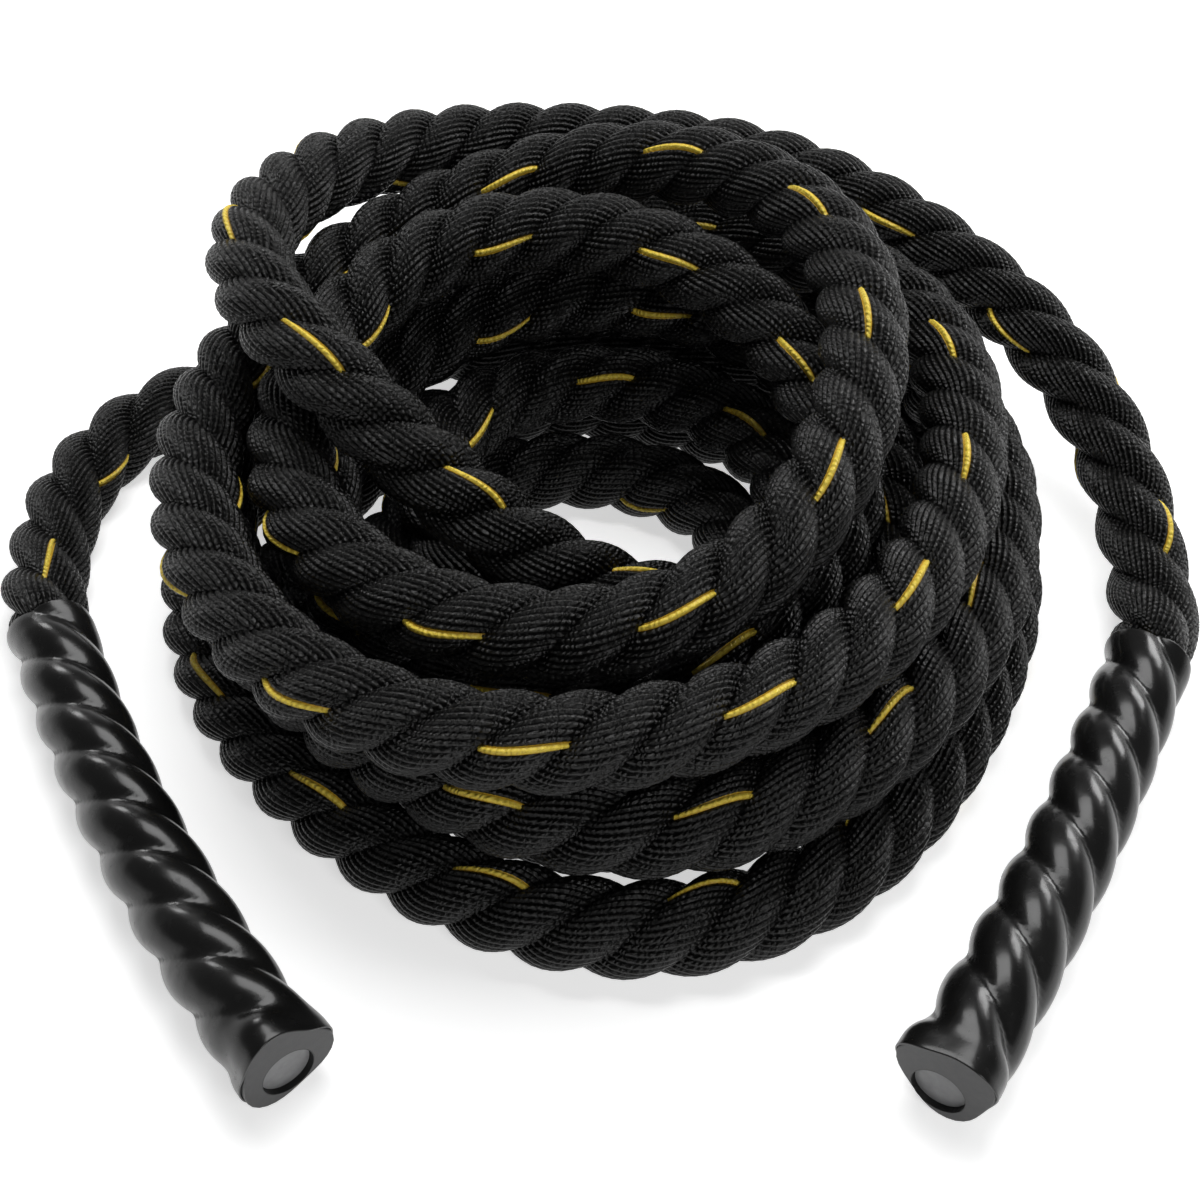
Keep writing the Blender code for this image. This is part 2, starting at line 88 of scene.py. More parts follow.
# The pile: each turn's radius and its height in layers at nine bearings, clockwise from the back
pileTurns = {
    "bearings": (0, 45, 90, 115, 140, 180, 225, 270, 315),
    "radii": (
        (0.197, 0.202, 0.183, 0.163, 0.176, 0.183, 0.158, 0.180, 0.192),
        (0.195, 0.202, 0.175, 0.161, 0.160, 0.166, 0.138, 0.171, 0.192),
        (0.192, 0.196, 0.151, 0.145, 0.144, 0.155, 0.167, 0.163, 0.176),
        (0.187, 0.145, 0.103, 0.099, 0.104, 0.110, 0.118, 0.134, 0.140),
        (0.120, 0.106, 0.103, 0.101, 0.102, 0.107, 0.114, 0.128, 0.130),
        (0.130, 0.136, 0.129, 0.119, 0.128, 0.135, 0.117, 0.141, 0.158),
        (0.150, 0.136, 0.108, 0.094, 0.091, 0.094, 0.078, 0.101, 0.110),
        (0.095, 0.089, 0.068, 0.057, 0.052, 0.050, 0.048, 0.066, 0.108),
        (0.116, 0.107, 0.090),
    ),
    "layers": (
        (0.00, 0.00, 0.00, 0.00, 0.00, 0.00, 0.00, 0.05, 0.50),
        (1.00, 1.00, 0.90, 0.87, 0.87, 0.90, 0.90, 1.00, 1.50),
        (2.00, 2.00, 1.85, 1.82, 1.82, 1.87, 1.90, 1.97, 2.45),
        (3.00, 3.20, 2.90, 2.65, 2.35, 2.08, 2.08, 2.15, 2.65),
        (3.00, 2.50, 1.85, 1.60, 1.35, 1.05, 1.08, 1.15, 1.65),
        (2.00, 1.50, 0.87, 0.60, 0.30, 0.00, 0.00, 0.00, 0.00),
        (0.00, 0.00, 0.00, 0.00, 0.00, 0.00, 0.00, 0.00, 0.00),
        (0.00, 0.00, 0.00, 0.00, 0.00, 0.00, 0.20, 0.70, 1.00),
        (1.00, 1.00, 1.00),
    ),
    "pointsPerTurn": 24,
}
# The rope outside the pile, from chosen points
leadRoutes = {
    "left": (
        (-0.2545, 0.022, 0.0152), (-0.258, 0.050, 0.0152), (-0.257, 0.080, 0.0152), (-0.250, 0.107, 0.0152),
        (-0.240, 0.129, 0.0152), (-0.222, 0.147, 0.0152), (-0.196, 0.163, 0.0152), (-0.158, 0.179, 0.0152),
        (-0.108, 0.191, 0.0152), (-0.054, 0.197, 0.0152),
    ),
    "innerEnd": (
        (0.086, -0.026, 0.0544), (0.068, -0.048, 0.0544), (0.040, -0.057, 0.0544), (0.008, -0.048, 0.0580),
        (-0.022, -0.032, 0.0700), (-0.052, -0.018, 0.0880),
    ),
    "right": (
        (-0.086, -0.008, 0.1090), (-0.120, 0.004, 0.1300), (-0.144, 0.036, 0.1400), (-0.153, 0.070, 0.1410),
        (-0.151, 0.101, 0.1420), (-0.140, 0.133, 0.1440), (-0.119, 0.160, 0.1400), (-0.082, 0.184, 0.1310),
        (-0.040, 0.197, 0.1270), (0.000, 0.204, 0.1260), (0.045, 0.206, 0.1230), (0.090, 0.200, 0.1140),
        (0.132, 0.190, 0.1020), (0.166, 0.168, 0.0920), (0.197, 0.143, 0.0800), (0.222, 0.113, 0.0670),
        (0.239, 0.082, 0.0520), (0.248, 0.052, 0.0380), (0.252, 0.029, 0.0280), (0.248, 0.003, 0.0205),
    ),
}
# How the turns settle against each other, as in the solids
settling = {
    "step": 0.35,                # between points, in rope diameters
    "finePoints": 24,            # of the smooth curve, for each point it goes through
    "apart": 2.0,                # points nearer along the rope don't push each other, in diameters
    "search": 1.35,              # how far away neighbours are looked for, in turn spacings
    "searchEvery": 10,
    "held": 4,                   # points that stay put at each end
    "rounds": 300,
    "closing": 30,               # last rounds, without smoothing
    "ease": 1.3,                 # how much of a push is taken in one round
    "even": 0.3,                 # how much of the smoothing is taken in one pass
    "passes": 3,
}

ropeDiameter = ropeSizes["diameter"]
turnSpacing = ropeDiameter + ropeSizes["turnClearance"]
floorHeight = ropeDiameter * (0.5 - ropeSizes["flatShare"])


def eased(share):
    # From 0 to 1 with a soft start and end
    held = np.clip(share, 0, 1)
    return held * held * (3 - 2 * held)


def naturalSpline(knots, values, places):
    # The smoothest curve through these values at the knots, read at the places
    knots = np.asarray(knots, float)
    values = np.asarray(values, float)
    spans = np.diff(knots)
    last = len(knots) - 1
    system = np.eye(last + 1)
    bend = np.zeros_like(values)
    for k in range(1, last):
        system[k, k - 1] = spans[k - 1]
        system[k, k] = 2 * (spans[k - 1] + spans[k])
        system[k, k + 1] = spans[k]
        bend[k] = 6 * ((values[k + 1] - values[k]) / spans[k] - (values[k] - values[k - 1]) / spans[k - 1])
    bend = np.linalg.solve(system, bend)
    left = np.clip(np.searchsorted(knots, places) - 1, 0, last - 1)
    span = spans[left]
    before = (knots[left + 1] - places) / span
    after = (places - knots[left]) / span
    if values.ndim > 1:
        span, before, after = span[:, None], before[:, None], after[:, None]
    straight = before * values[left] + after * values[left + 1]
    curved = (before ** 3 - before) * bend[left] + (after ** 3 - after) * bend[left + 1]
    return straight + curved * span ** 2 / 6


def placesAlong(points):
    steps = np.linalg.norm(np.diff(points, axis=0), axis=1)
    return np.concatenate([[0.0], np.cumsum(steps)])


def evenlySpaced(points, step):
    places = placesAlong(points)
    count = max(2, round(places[-1] / step) + 1)
    wanted = np.linspace(0, places[-1], count)
    return np.stack([np.interp(wanted, places, points[:, axis]) for axis in range(3)], axis=-1)


def smoothThrough(points, step, finePoints):
    points = np.asarray(points, float)
    spans = np.sqrt(np.linalg.norm(np.diff(points, axis=0), axis=1))
    knots = np.concatenate([[0.0], np.cumsum(spans)])
    fine = np.linspace(0, knots[-1], len(points) * finePoints)
    return evenlySpaced(naturalSpline(knots, points, fine), step)


def gripDirection(heading):
    return np.array([math.sin(math.radians(heading)), -math.cos(math.radians(heading)), 0.0])


def alongGrip(side, along):
    # Points of a bowed grip's middle line, at these distances from its mouth
    grip = gripSizes[side]
    start = math.radians(grip["heading"])
    rate = math.radians(grip["bend"]) / grip["length"]
    heading = start + rate * np.asarray(along, float)
    across = grip["mouth"][0] + (math.cos(start) - np.cos(heading)) / rate
    back = grip["mouth"][1] + (math.sin(start) - np.sin(heading)) / rate
    return np.stack([across, back, 0 * heading + grip["height"]], axis=-1)


def pilePoints():
    turns, radii, heights = [], [], []
    for turn, (radiusRow, layerRow) in enumerate(zip(pileTurns["radii"], pileTurns["layers"])):
        for bearing, radius, layer in zip(pileTurns["bearings"], radiusRow, layerRow):
            turns.append(turn + bearing / 360)
            radii.append(radius)
            heights.append(floorHeight + turnSpacing * layer)
    perTurn = pileTurns["pointsPerTurn"]
    at = np.arange(round(turns[-1] * perTurn) + 1) / perTurn
    radius = naturalSpline(turns, radii, at)
    height = naturalSpline(turns, heights, at)
    angle = math.pi / 2 - 2 * math.pi * at
    return np.stack([radius * np.cos(angle), radius * np.sin(angle), height], axis=1)


def chosenRoute():
    # From the left grip's mouth through the pile to the right grip's mouth
    step = ropeDiameter * settling["step"]
    leftStart = alongGrip("left", 0)
    rightEnd = alongGrip("right", 0)
    leftBend = leftStart - gripDirection(gripSizes["left"]["heading"]) * sleeveSizes["straightRope"]
    rightBend = rightEnd - gripDirection(gripSizes["right"]["heading"]) * sleeveSizes["straightRope"]
    pile = pilePoints()
    left = [leftStart, leftBend, *leadRoutes["left"], pile[0]]
    right = [pile[-1], *leadRoutes["innerEnd"], *leadRoutes["right"], rightBend, rightEnd]
    left = smoothThrough(left, step, settling["finePoints"])
    right = smoothThrough(right, step, settling["finePoints"])
    return evenlySpaced(np.concatenate([left[:-1], pile, right[1:]]), step)


def settled(route):
    # Pushes neighbouring turns towards a turn spacing apart, and keeps them on or above the floor
    points = route.copy()
    places = placesAlong(points)
    free = np.ones(len(points), bool)
    free[:settling["held"]] = False
    free[-settling["held"]:] = False
    for count in range(settling["rounds"]):
        if count % settling["searchEvery"] == 0:
            apart = np.linalg.norm(points[:, None, :] - points[None, :, :], axis=2)
            later = (places[None, :] - places[:, None]) > settling["apart"] * ropeDiameter
            one, other = np.where((apart < turnSpacing * settling["search"]) & later)
        between = points[one] - points[other]
        apart = np.linalg.norm(between, axis=1)
        short = np.clip(turnSpacing - apart, 0, None)
        push = between / apart[:, None] * short[:, None] / 2
        moved = np.zeros_like(points)
        pushes = np.zeros(len(points))
        np.add.at(moved, one, push)
        np.add.at(moved, other, -push)
        np.add.at(pushes, one, short > 0)
        np.add.at(pushes, other, short > 0)
        points[free] += (settling["ease"] * moved / np.maximum(pushes, 1)[:, None])[free]
        if count < settling["rounds"] - settling["closing"]:
            for _ in range(settling["passes"]):
                middle = np.zeros_like(points)
                middle[1:-1] = 0.5 * (points[:-2] + points[2:]) - points[1:-1]
                change = np.zeros_like(points)
                change[2:-2] = middle[2:-2] - 0.5 * (middle[1:-3] + middle[3:-1])
                points[free] += settling["even"] * change[free]
        points[free, 2] = np.maximum(points[free, 2], floorHeight)
    return points


def capFrame(side):
    # The middle of a grip's end, and the ways right, up and out of its cap
    grip = gripSizes[side]
    heading = grip["heading"] + grip["bend"]
    outward = gripDirection(heading)
    aside = np.array([math.cos(math.radians(heading)), math.sin(math.radians(heading)), 0.0])
    return alongGrip(side, grip["length"]), aside, np.array([0.0, 0.0, 1.0]), outward


def pileCentre():
    # Where the pile's middle stands in the frame: read from the left disc, whose place in the pile is known
    low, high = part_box("left_cap_disc")
    end, aside, up, outward = capFrame("left")
    pocketFloor = capSizes["gap"] + capSizes["thickness"] - capSizes["pocketDepth"]
    out = pocketFloor + capSizes["fit"] + capSizes["discThickness"] / 2
    right, above = gripSizes["left"]["disc"]
    disc = end + outward * out + aside * right + up * above
    return np.array([(low[0] + high[0]) / 2 - disc[0], (low[1] + high[1]) / 2 - disc[1], 0.0])


centre = pileCentre()
print("pile centre", np.round(centre * 1000, 2))

# Camera at the photograph's viewing angle
cameraSizes = {
    "elevation": 43.0,
    "height": 0.561,
    "back": 0.584,               # from the pile's middle
    "focalPixels": 1769.0,
    "framePixels": 1201.0,
    "sensor": 36.0,              # millimetres
    "nearest": 0.01,
}


def buildCamera():
    camera = bpy.data.cameras.new("camera")
    camera.sensor_width = cameraSizes["sensor"]
    camera.sensor_fit = "AUTO"
    camera.lens = cameraSizes["sensor"] * cameraSizes["focalPixels"] / cameraSizes["framePixels"]
    camera.clip_start = cameraSizes["nearest"]
    holder = bpy.data.objects.new("camera", camera)
    holder.location = (centre[0], centre[1] - cameraSizes["back"], cameraSizes["height"])
    holder.rotation_euler = (math.radians(90 - cameraSizes["elevation"]), 0, 0)
    bpy.context.collection.objects.link(holder)
    bpy.context.scene.camera = holder


buildCamera()


# Small tools for meshes, pieces and materials

def sweptMesh(name, rings, uvs=None, attributes=None, capEnds=True):
    # rings: turns x sides x 3. Faces look outward when the sides run anticlockwise seen from the far end.
    count, sides = rings.shape[:2]
    mesh = bpy.data.meshes.new(name)
    mesh.vertices.add(count * sides)
    mesh.vertices.foreach_set("co", rings.reshape(-1).astype(np.float32))
    ring = np.arange(count - 1)[:, None] * sides
    side = np.arange(sides)[None, :]
    following = (side + 1) % sides
    quads = [ring + side, ring + following, ring + sides + following, ring + sides + side]
    quads = np.stack(quads, axis=-1).reshape(-1, 4)
    loops = quads.reshape(-1)
    starts = np.arange(len(quads)) * 4
    totals = np.full(len(quads), 4)
    if capEnds:
        first = np.arange(sides)[::-1]
        last = (count - 1) * sides + np.arange(sides)
        loops = np.concatenate([loops, first, last])
        starts = np.concatenate([starts, [len(quads) * 4, len(quads) * 4 + sides]])
        totals = np.concatenate([totals, [sides, sides]])
    mesh.loops.add(len(loops))
    mesh.loops.foreach_set("vertex_index", loops.astype(np.int32))
    mesh.polygons.add(len(starts))
    mesh.polygons.foreach_set("loop_start", starts.astype(np.int32))
    mesh.polygons.foreach_set("loop_total", totals.astype(np.int32))
    if uvs is not None:
        # uvs: turns x (sides + 1) x 2, so that the last column closes the ring without a jump
        layer = mesh.uv_layers.new(name="lay")
        across = np.stack([side, side + 1, side + 1, side], axis=-1)
        along = np.stack([0 * side, 0 * side, 0 * side + 1, 0 * side + 1], axis=-1)
        ringAt = np.arange(count - 1)[:, None, None] + along
        sideAt = across + 0 * ringAt
        corner = uvs[ringAt, sideAt].reshape(-1, 2)
        if capEnds:
            corner = np.concatenate([corner, uvs[0, :sides][::-1], uvs[-1, :sides]])
        layer.data.foreach_set("uv", corner.reshape(-1).astype(np.float32))
    for key, values in (attributes or {}).items():
        attribute = mesh.attributes.new(key, "FLOAT", "POINT")
        attribute.data.foreach_set("value", values.reshape(-1).astype(np.float32))
    mesh.update(calc_edges=True)
    mesh.validate()
    mesh.shade_smooth()
    return mesh


def newObject(name, data):
    made = bpy.data.objects.new(name, data)
    bpy.context.collection.objects.link(made)
    return made


def joinedObject(name, meshes):
    made = [newObject(name, mesh) for mesh in meshes]
    bpy.ops.object.select_all(action="DESELECT")
    for part in made:
        part.select_set(True)
    bpy.context.view_layer.objects.active = made[0]
    bpy.ops.object.join()
    made[0].name = name
    return made[0]


def setMaterial(thing, material):
    thing.data.materials.clear()
    thing.data.materials.append(material)


def dressPiece(piece, material):
    setMaterial(piece, material)
    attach(piece, "root")


class NodeBench:
    # Short calls for the nodes of a material or of the world
    def __init__(self, owner, shader="Principled BSDF"):
        owner.use_nodes = True
        self.owner = owner
        self.tree = owner.node_tree
        self.shader = self.tree.nodes[shader]

    def node(self, kind, **settings):
        made = self.tree.nodes.new(kind)
        for key, value in settings.items():
            setattr(made, key, value)
        return made

    def feed(self, socket, value):
        # The value is another node's output, a colour as a tuple, or a number or vector
        if isinstance(value, bpy.types.NodeSocket):
            self.tree.links.new(value, socket)
        elif isinstance(value, tuple):
            socket.default_value = (*value, 1.0)
        else:
            socket.default_value = value

    def feedAll(self, sockets, values):
        for socket, value in zip(sockets, values):
            self.feed(socket, value)

    def dress(self, looks):
        # looks: values for the shader's sockets, by name
        for name, value in looks.items():
            self.feed(self.shader.inputs[name], value)

    def math(self, operation, *values):
        made = self.node("ShaderNodeMath", operation=operation)
        self.feedAll(made.inputs, values)
        return made.outputs["Value"]

    def vectorMath(self, operation, *values):
        made = self.node("ShaderNodeVectorMath", operation=operation)
        self.feedAll(made.inputs, values)
        return made.outputs["Value" if operation == "LENGTH" else "Vector"]

    def objectPlace(self):
        return self.node("ShaderNodeTexCoord").outputs["Object"]

    def parts(self, vector):
        made = self.node("ShaderNodeSeparateXYZ")
        self.feed(made.inputs["Vector"], vector)
        return made.outputs

    def noise(self, place, scale, detail):
        made = self.node("ShaderNodeTexNoise")
        self.feed(made.inputs["Vector"], place)
        self.feed(made.inputs["Scale"], scale)
        self.feed(made.inputs["Detail"], detail)
        return made.outputs["Fac"]

    def ramp(self, value, stops):
        # stops: position and colour of each
        made = self.node("ShaderNodeValToRGB")
        band = made.color_ramp
        while len(band.elements) < len(stops):
            band.elements.new(0.5)
        for element, (position, colour) in zip(band.elements, stops):
            element.position = position
            element.color = (*colour, 1.0)
        self.feed(made.inputs["Fac"], value)
        return made.outputs["Color"]

    def mix(self, factor, first, second):
        made = self.node("ShaderNodeMix", data_type="RGBA")
        self.feedAll([socket for socket in made.inputs if socket.enabled], (factor, first, second))
        return [socket for socket in made.outputs if socket.enabled][0]

    def bump(self, height, distance, strength):
        made = self.node("ShaderNodeBump")
        self.feed(made.inputs["Height"], height)
        self.feed(made.inputs["Distance"], distance)
        self.feed(made.inputs["Strength"], strength)
        return made.outputs["Normal"]

    def seenShare(self):
        # 1 for what the camera, a reflection or a glass sees directly, 0 for the light on the object
        rays = self.node("ShaderNodeLightPath").outputs
        seen = self.math("MAXIMUM", rays["Is Camera Ray"], rays["Is Glossy Ray"])
        return self.math("MAXIMUM", seen, rays["Is Transmission Ray"])


# The rope's whole way, from the left cap to the right one, with a frame that doesn't roll along it
ropeLook = {
    "ringStep": 0.0025,
    "finePoints": 10,            # of the smooth curve, for each point of the settled route
    "strandRadius": 0.0101,
    "strandOffset": 0.0089,      # of a strand's middle from the rope's middle
    "pileLay": 0.080,            # the strands lie tighter in the pile than in the grips
    "leadLay": 0.100,            # and looser next to them
    "leadLength": 0.16,
    "layChange": 0.001,          # past a mouth, where the grip's lay goes over into the lead's
    "yarns": 20,                 # ribs round one strand
    "columnsPerYarn": 3,         # columns of points: its groove and its two shoulders
    "yarnTurn": 0.0419,          # a yarn goes once round its strand in this length
    "ribDepth": 0.0008,
    "goldProud": 0.0005,         # by which the gold yarn stands out
    "goldStart": 0.1,            # share of a turn by which the gold yarn is shifted round its strand
    "insideSleeve": 0.025,       # rope drawn inside a sleeve, past its mouth
    "squeezed": 0.80,            # of its size, there
    "squeezeLength": 0.014,
    "uvPerMetre": 100,           # along the strands
}


def ropeWay():
    # The way's points, and the numbers of those at the left and the right mouth
    step = ropeLook["ringStep"]
    free = smoothThrough(settled(chosenRoute()) + centre, step, ropeLook["finePoints"])
    inGrip = {}
    for side, grip in gripSizes.items():
        count = round(grip["length"] / step)
        inGrip[side] = alongGrip(side, np.arange(1, count + 1) / count * grip["length"]) + centre
    points = np.concatenate([inGrip["left"][::-1], free, inGrip["right"]])
    leftMouth = len(inGrip["left"])
    return points, leftMouth, leftMouth + len(free) - 1


def unrolledFrames(points):
    # Two normals at each point that turn as little as they can along the way
    tangents = np.gradient(points, axis=0)
    tangents /= np.linalg.norm(tangents, axis=1)[:, None]
    first = np.zeros_like(points)
    normal = np.cross(tangents[0], (0, 0, 1.0))
    first[0] = normal / np.linalg.norm(normal)
    for k in range(1, len(points)):
        normal = first[k - 1] - tangents[k] * np.dot(first[k - 1], tangents[k])
        first[k] = normal / np.linalg.norm(normal)
    return first, np.cross(tangents, first)


def cornerTurn(side, ring):
    # Where a cap's first corner points, as an angle in the frame of this ring of the way
    corner = math.radians(gripSizes[side]["corner"])
    aside, up = capFrame(side)[1:3]
    toCorner = math.cos(corner) * aside + math.sin(corner) * up
    return math.atan2(np.dot(toCorner, wayUp[ring]), np.dot(toCorner, wayAcross[ring]))


def strandTurns():
    # Angle of the first strand at each ring: left-handed, with a strand under a corner of each cap.
    # What is over or short of a third of a turn is taken up in the pile.
    third = 2 * math.pi / ropeSizes["strands"]
    leadLength = ropeLook["leadLength"]
    fromMouth = np.minimum(wayPlaces - wayPlaces[leftMouthAt], wayPlaces[rightMouthAt] - wayPlaces)
    marks = (0.0, ropeLook["layChange"], leadLength, 2 * leadLength)
    lays = (ropeSizes["layLength"], ropeLook["leadLay"], ropeLook["leadLay"], ropeLook["pileLay"])
    rate = 2 * math.pi / np.interp(fromMouth, marks, lays)
    turned = np.concatenate([[0.0], np.cumsum((rate[1:] + rate[:-1]) / 2 * np.diff(wayPlaces))])
    inPile = np.clip((wayPlaces - 2 * leadLength) / (wayPlaces[-1] - 4 * leadLength), 0, 1)
    first = cornerTurn("left", 0)
    last = cornerTurn("right", -1)
    over = (first - last - turned[-1] + third / 2) % third - third / 2
    return first - turned - over * inPile


print("laying the rope")
way, leftMouthAt, rightMouthAt = ropeWay()
wayPlaces = placesAlong(way)
wayAcross, wayUp = unrolledFrames(way)
wayTurns = strandTurns()
betweenMouths = wayPlaces[rightMouthAt] - wayPlaces[leftMouthAt]
print("rope between the mouths, m:", round(betweenMouths, 4), "whole:", round(wayPlaces[-1], 4))


def strandMeshes(name, span, size):
    # Strands wound round this span of the way; size is the rope's share of its full size at each ring.
    # Each column of points follows one yarn, so the ribs are in the mesh.
    # The first strand has the gold yarn.
    places = wayPlaces[span]
    perYarn = ropeLook["columnsPerYarn"]
    columns = ropeLook["yarns"] * perYarn
    share = np.arange(columns + 1) / columns
    ribs = np.where(np.arange(columns) % perYarn == 0, ropeLook["ribDepth"], 0.0)
    proud = np.where(np.arange(columns) < perYarn, ropeLook["goldProud"], 0.0)
    across = np.repeat(ropeLook["yarns"] * share[None, :], len(places), axis=0)
    along = np.repeat(places[:, None] * ropeLook["uvPerMetre"], columns + 1, axis=1)
    twist = places / ropeLook["yarnTurn"] + ropeLook["goldStart"]
    around = 2 * math.pi * (share[None, :-1] + twist[:, None])
    meshes = []
    for strand in range(ropeSizes["strands"]):
        tracer = 1.0 if strand == 0 else 0.0
        turn = wayTurns[span] + 2 * math.pi * strand / ropeSizes["strands"]
        outward = np.cos(turn)[:, None] * wayAcross[span] + np.sin(turn)[:, None] * wayUp[span]
        middle = way[span] + outward * (ropeLook["strandOffset"] * size)[:, None]
        heading = np.gradient(middle, axis=0)
        heading /= np.linalg.norm(heading, axis=1)[:, None]
        out = outward - heading * np.sum(outward * heading, axis=1)[:, None]
        out /= np.linalg.norm(out, axis=1)[:, None]
        aside = np.cross(heading, out)
        radius = size[:, None] * (ropeLook["strandRadius"] - ribs + tracer * proud)[None, :]
        rings = middle[:, None, :] + radius[:, :, None] * (
            np.cos(around)[:, :, None] * out[:, None, :] + np.sin(around)[:, :, None] * aside[:, None, :])
        rings[:, :, 2] = np.maximum(rings[:, :, 2], 0.0)
        attributes = {"tracer": np.full(rings.shape[:2], tracer)}
        meshes.append(sweptMesh(name, rings, np.stack([across, along], axis=-1), attributes))
    return meshes


ropeFinish = {
    "black": (                   # by height: painted shade between the yarns, plain black on them, and a painted highlight on the crowns of their beads
        (0.20, (0.0004, 0.0004, 0.0004)),
        (0.52, (0.0008, 0.0008, 0.0007)),
        (0.98, (0.0125, 0.0122, 0.0111)),
    ),
    # the gold yarn's own colour on its crown, with painted shade low on its dome
    "gold": ((0.06, (0.58, 0.33, 0.02)), (0.50, (1.0, 0.76, 0.10))),
    "goldWidth": 1.12,           # in yarns
    "roughness": 0.22,
    "roughnessSpread": 0.16,
    "specular": 0.32,
    "beadLength": 0.0015,        # of the twist that shows along a yarn
    "beadDepth": 0.0009,
    "beadShare": 0.52,           # of a yarn's height, that is lost between two beads
    "beadSlant": 0.9,            # beads by which the twist runs on across a yarn
    "beadWander": 2.5,
    "fuzz": 0.35,
    "broad": (55.0, 3.0),        # scale and detail of each noise
    "wander": (160.0, 1.0),
    "fine": (1500.0, 2.0),
}


def ropeMaterial():
    look = ropeFinish
    bench = NodeBench(bpy.data.materials.new("ropeBlackFibre"))
    place = bench.objectPlace()
    lay = bench.parts(bench.node("ShaderNodeUVMap", uv_map="lay").outputs["UV"])
    across, along = lay["X"], lay["Y"]
    # ribs: one dome over each yarn
    inYarn = bench.math("FRACT", across)
    fromMiddle = bench.math("MULTIPLY_ADD", inYarn, 2.0, -1.0)
    dome = bench.math("SUBTRACT", 1.0, bench.math("MULTIPLY", fromMiddle, fromMiddle))
    # beads: the yarn's own twist, slanting across it and shifted from yarn to yarn
    shifts = bench.node("ShaderNodeTexWhiteNoise", noise_dimensions="1D")
    bench.feed(shifts.inputs["W"], bench.math("FLOOR", across))
    beadsPerUnit = 1 / (ropeLook["uvPerMetre"] * look["beadLength"])
    beads = bench.math("MULTIPLY_ADD", along, beadsPerUnit, shifts.outputs["Value"])
    beads = bench.math("MULTIPLY_ADD", inYarn, look["beadSlant"], beads)
    beads = bench.math("MULTIPLY_ADD", bench.noise(place, *look["wander"]), look["beadWander"], beads)
    wave = bench.math("SINE", bench.math("MULTIPLY", beads, 2 * math.pi))
    bead = bench.math("MULTIPLY_ADD", wave, 0.5, 0.5)
    height = bench.math("MULTIPLY_ADD", bead, look["beadShare"], 1 - look["beadShare"])
    height = bench.math("MULTIPLY", dome, height)
    fuzz = bench.math("SUBTRACT", bench.noise(place, *look["fine"]), 0.5)
    height = bench.math("MULTIPLY_ADD", fuzz, look["fuzz"], height)
    # one gold yarn on the strand that has the tracer
    tracer = bench.node("ShaderNodeAttribute", attribute_name="tracer").outputs["Fac"]
    isGold = bench.math("MULTIPLY", bench.math("LESS_THAN", across, look["goldWidth"]), tracer)
    # painted shade in the grooves between the yarns and a painted highlight on the bead crowns, by height
    black = bench.ramp(height, look["black"])
    # the gold yarn's own colour, with painted shade down its sides
    gold = bench.ramp(height, look["gold"])
    broad = bench.noise(place, *look["broad"])
    bench.dress({
        "Base Color": bench.mix(isGold, black, gold),
        "Roughness": bench.math("MULTIPLY_ADD", broad, look["roughnessSpread"], look["roughness"]),
        "Specular IOR Level": look["specular"],
        "Normal": bench.bump(height, look["beadDepth"], 1.0),
    })
    return bench.owner


def buildRope():
    into = round(ropeLook["insideSleeve"] / ropeLook["ringStep"])
    span = slice(leftMouthAt - into, rightMouthAt + into + 1)
    places = wayPlaces[span]
    nearMouth = np.minimum(places - wayPlaces[leftMouthAt], wayPlaces[rightMouthAt] - places)
    free = eased(nearMouth / ropeLook["squeezeLength"])
    size = ropeLook["squeezed"] + (1 - ropeLook["squeezed"]) * free
    rope = joinedObject("twistedRope", strandMeshes("twistedRope", span, size))
    dressPiece(rope, ropeMaterial())
    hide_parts("rope_coil", "left_rope_lead", "right_rope_lead")


print("winding the strands")
buildRope()


# Grips: a glossy sleeve drawn down onto the squeezed rope
sleeveLook = {
    "sides": 108,
    "step": 0.002,
    "wall": 0.0010,
    "edgeRings": 5,              # round each rim
    "crease": 0.72,              # below 1 the crests are broad and the creases narrow
    "creaseDepth": 0.0040,       # below the crests
    "creaseSoft": 0.01,          # keeps a crease's bottom from being sharp
    "mouthFlare": 0.0007,
    "mouthFlareLength": 0.010,
    "mouthWave": 0.0016,
    "mouthWaves": ((2, 0.6, 1.0), (3, 2.0, 0.6)),   # times round, shift and share of each
    "capFlareLength": 0.013,
    "lipOver": 0.0064,           # past the grip's end, over the cap
    "lipCurl": 0.0010,
    "lipDrop": 0.0046,           # by which the lip ends sooner under the cap than over it
    "lipDropEdge": (3.0, 0.3),   # how steeply it goes over from one to the other, and how far up
    "lipRipple": 0.0004,
    "lipRipples": 5,
}
sleeveFinish = {
    "black": ((0.3, (0.004, 0.004, 0.004)), (0.7, (0.010, 0.010, 0.0098))),
    "coat": 0.22,
    "coatRoughness": 0.12,
    "specular": 0.30,
    "roughness": 0.20,
    "roughnessSpread": 0.12,
    "scuffRoughness": 0.12,
    "scuffs": ((0.62, (0, 0, 0)), (0.75, (1, 1, 1))),
    "dentDepth": 0.0009,
    "dentStrength": 0.6,
    "grain": 0.05,               # against the dents
    "broad": (25.0, 3.0),        # scale and detail of each noise
    "ripple": (85.0, 1.0),
    "fine": (900.0, 3.0),
    "scuff": (260.0, 4.0),
}


